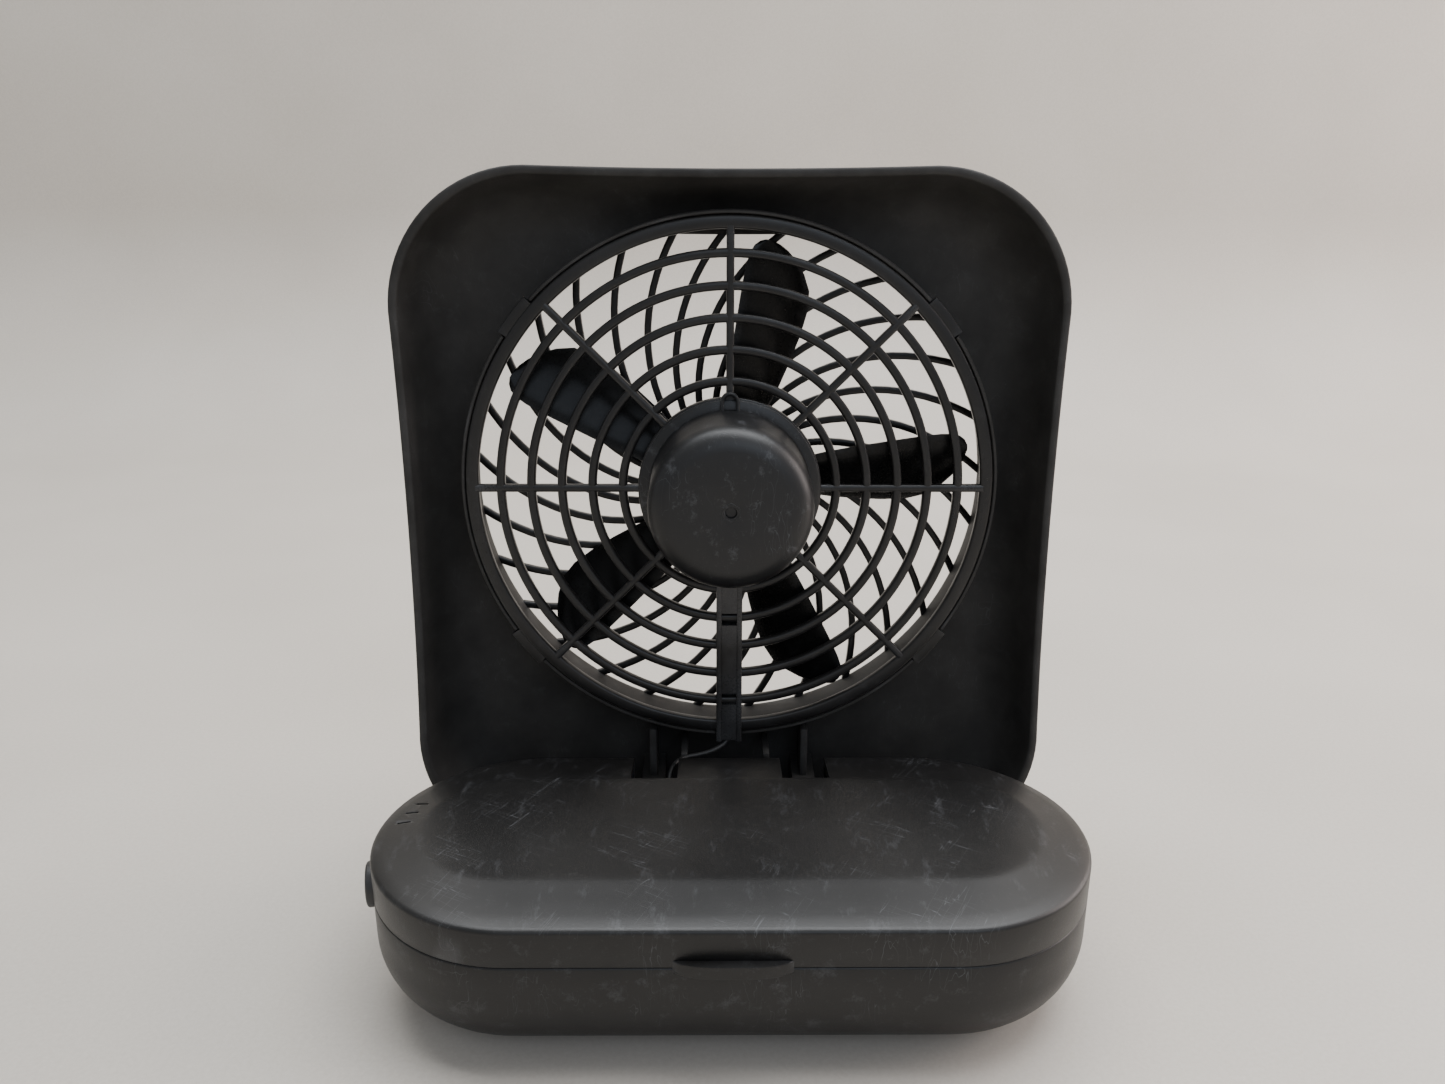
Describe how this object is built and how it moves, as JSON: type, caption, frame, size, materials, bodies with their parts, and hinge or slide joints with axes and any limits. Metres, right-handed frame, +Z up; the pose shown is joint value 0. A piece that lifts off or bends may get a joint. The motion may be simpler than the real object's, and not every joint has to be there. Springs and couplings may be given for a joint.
{
  "type": "folding battery box fan",
  "caption": "Small square fan head with a round grilled duct, hinged to a flat round-ended battery base that it folds down onto.",
  "frame": {"origin": "middle of the four feet, on the surface that the fan stands on, under the middle of the base", "axes": "+X along the base toward its plain end (the switch is at -X), +Y from the base toward the fan head and the side the air blows to, +Z up"},
  "size_m": [0.1736, 0.1088, 0.1924],
  "materials": {
    "base_shell": "fine matt grain",
    "head_shell": "satin",
    "grille_plastic": "semi-gloss",
    "cover_plastic": "satin with scuffs",
    "impeller_plastic": "semi-gloss",
    "control_plastic": "satin",
    "foot_rubber": "matt",
    "wire": "satin sleeve",
    "steel_pins": "drawn",
    "screws": "zinc, darkened",
    "cells": "printed sleeve",
    "contacts": "nickelled",
    "motor_steel": "plated",
    "magnet": "sintered ferrite",
    "copper_winding": "enamelled wire"
  },
  "bodies": {
    "base": {"base_tray": "base_shell", "base_lid": "base_shell", "rubber_feet": "foot_rubber", "hinge_pins": "steel_pins", "battery_left": "cells", "battery_right": "cells", "battery_spring": "steel_pins", "contact_plate_left": "contacts", "contact_plate_right": "contacts", "switch_body": "control_plastic", "switch_terminals": "contacts", "power_socket": "control_plastic", "socket_pin": "contacts", "lead_positive": "wire", "lead_negative": "wire", "lead_base": "wire"},
    "switch": {"switch_knob": "control_plastic"},
    "head": {"front_panel": "head_shell", "front_grille": "grille_plastic", "front_hub_cap": "grille_plastic", "rear_grille": "grille_plastic", "motor_cover": "cover_plastic", "motor_can": "motor_steel", "motor_end_cap": "control_plastic", "motor_magnets": "magnet", "motor_bearings": "contacts", "motor_brushes": "contacts", "motor_terminals": "contacts", "motor_screws": "screws", "lead_head": "wire"},
    "rotor": {"impeller": "impeller_plastic", "motor_shaft": "motor_steel", "armature": "copper_winding", "commutator": "copper_winding"}
  },
  "joints": [
    {"name": "head_fold", "type": "hinge", "parent": "base", "child": "head", "pos_m": [0, 0.0255, 0.026], "axis": [1, 0, 0], "range_deg": [-8, 93], "deforming": ["lead_head"]},
    {"name": "switch_slide", "type": "slide", "parent": "base", "child": "switch", "axis": [0.1994, 0.9799, 0], "range_m": [-0.004, 0.004]},
    {"name": "fan_spin", "type": "hinge", "parent": "head", "child": "rotor", "pos_m": [0, 0.04931, 0.11167], "axis": [0, 0.9986, -0.0523], "continuous": true}
  ]
}
